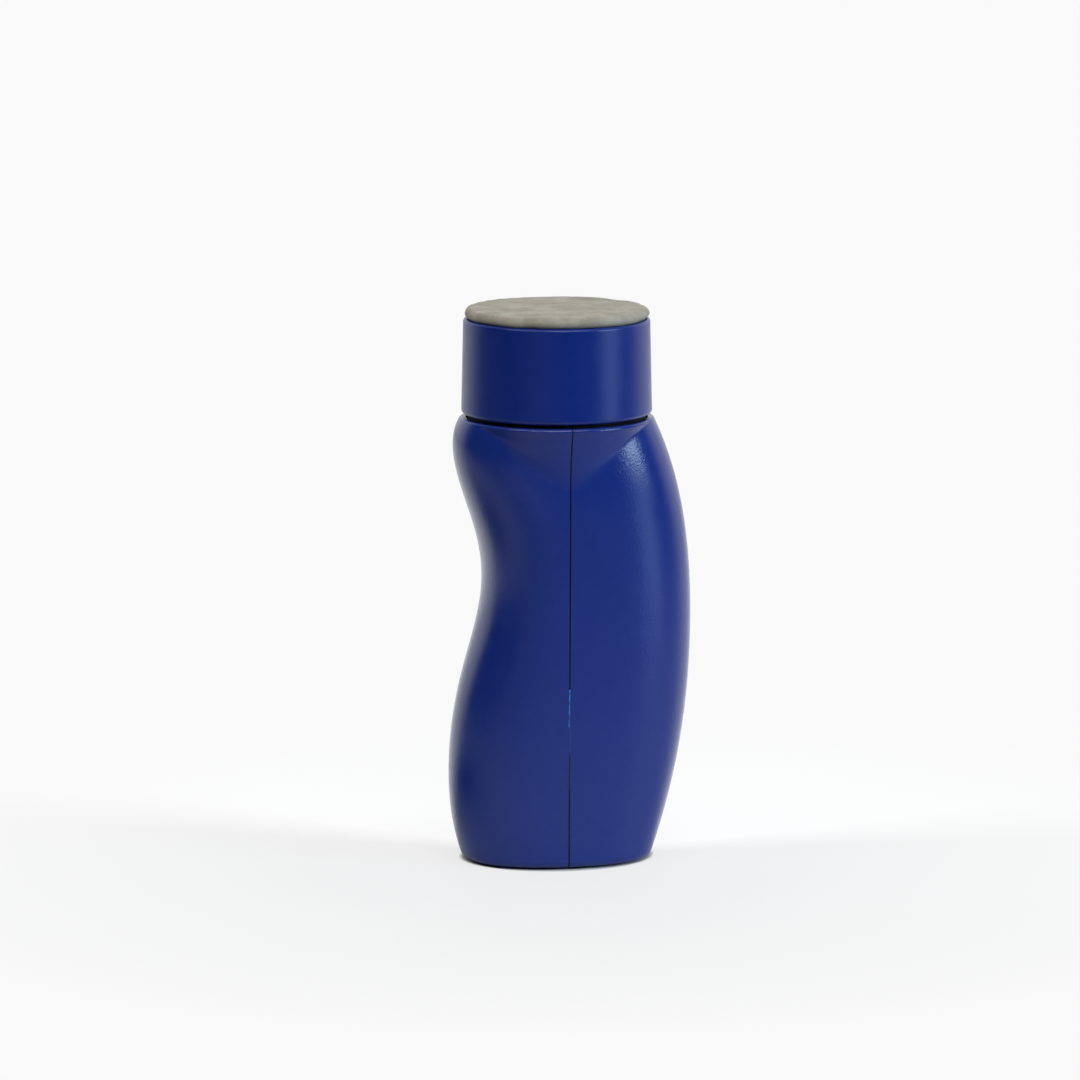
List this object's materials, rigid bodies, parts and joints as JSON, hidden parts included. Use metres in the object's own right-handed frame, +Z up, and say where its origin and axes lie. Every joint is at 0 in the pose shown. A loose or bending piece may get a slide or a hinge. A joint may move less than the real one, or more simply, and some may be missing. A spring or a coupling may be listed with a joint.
{
  "type": "miniature painting handle",
  "caption": "Contoured hand grip of two moulded half shells with a magnetic round cap that spins on a ball bearing and holds a model on putty while it is painted.",
  "frame": {"origin": "on the spin axis of the cap, at the height of the table the handle stands on", "axes": "+Z up along the spin axis, +X towards the palm side, +Y towards the back"},
  "size_m": [0.0484, 0.0378, 0.1102],
  "materials": {
    "grip_plastic": "satin moulded plastic with a fine spark-eroded grain, deep blue",
    "cap_plastic": "satin moulded plastic, deep blue",
    "hub_plastic": "black moulded plastic",
    "inner_plastic": "black glass-filled nylon",
    "bearing_steel": "ground bearing steel",
    "ball_steel": "polished bearing balls",
    "cage_nylon": "natural nylon",
    "spring_steel": "phosphated spring steel",
    "screw_steel": "zinc-plated steel",
    "plate_steel": "zinc-plated steel plate",
    "magnet_nickel": "nickel-plated magnet",
    "felt": "pressed wool felt",
    "foot_rubber": "matt non-slip rubber",
    "putty": "dull sticky putty"
  },
  "bodies": {
    "handle": {"finger_shell": "grip_plastic", "palm_shell": "grip_plastic", "foot_pad": "foot_rubber", "ballast_plate": "plate_steel", "foot_screws": "screw_steel", "bearing_carrier": "inner_plastic", "carrier_screws": "screw_steel", "bearing_outer_race": "bearing_steel", "bearing_shields": "bearing_steel", "bearing_circlip": "spring_steel", "drag_washer": "felt"},
    "rotor": {"spindle": "bearing_steel", "spindle_washer": "screw_steel", "spindle_screw": "screw_steel", "bearing_inner_race": "bearing_steel", "turntable_hub": "hub_plastic", "hub_screw": "screw_steel", "hub_magnet": "magnet_nickel"},
    "ball_set": {"bearing_balls": "ball_steel", "bearing_cage": "cage_nylon"},
    "cap_set": {"cap": "cap_plastic", "keeper_plate": "plate_steel", "putty_pad": "putty"}
  },
  "joints": [
    {"name": "head_spin", "type": "hinge", "parent": "handle", "child": "rotor", "pos_m": [0, 0, 0.0823], "axis": [0, 0, 1], "continuous": true},
    {"name": "ball_spin", "type": "hinge", "parent": "handle", "child": "ball_set", "pos_m": [0, 0, 0.0823], "axis": [0, 0, 1], "continuous": true},
    {"name": "cap_lift", "type": "slide", "parent": "rotor", "child": "cap_set", "axis": [0, 0, 1], "range_m": [0, 0.025]}
  ],
  "couplings": [
    {"joint": "ball_spin", "follows": "head_spin", "ratio": 0.40079}
  ]
}
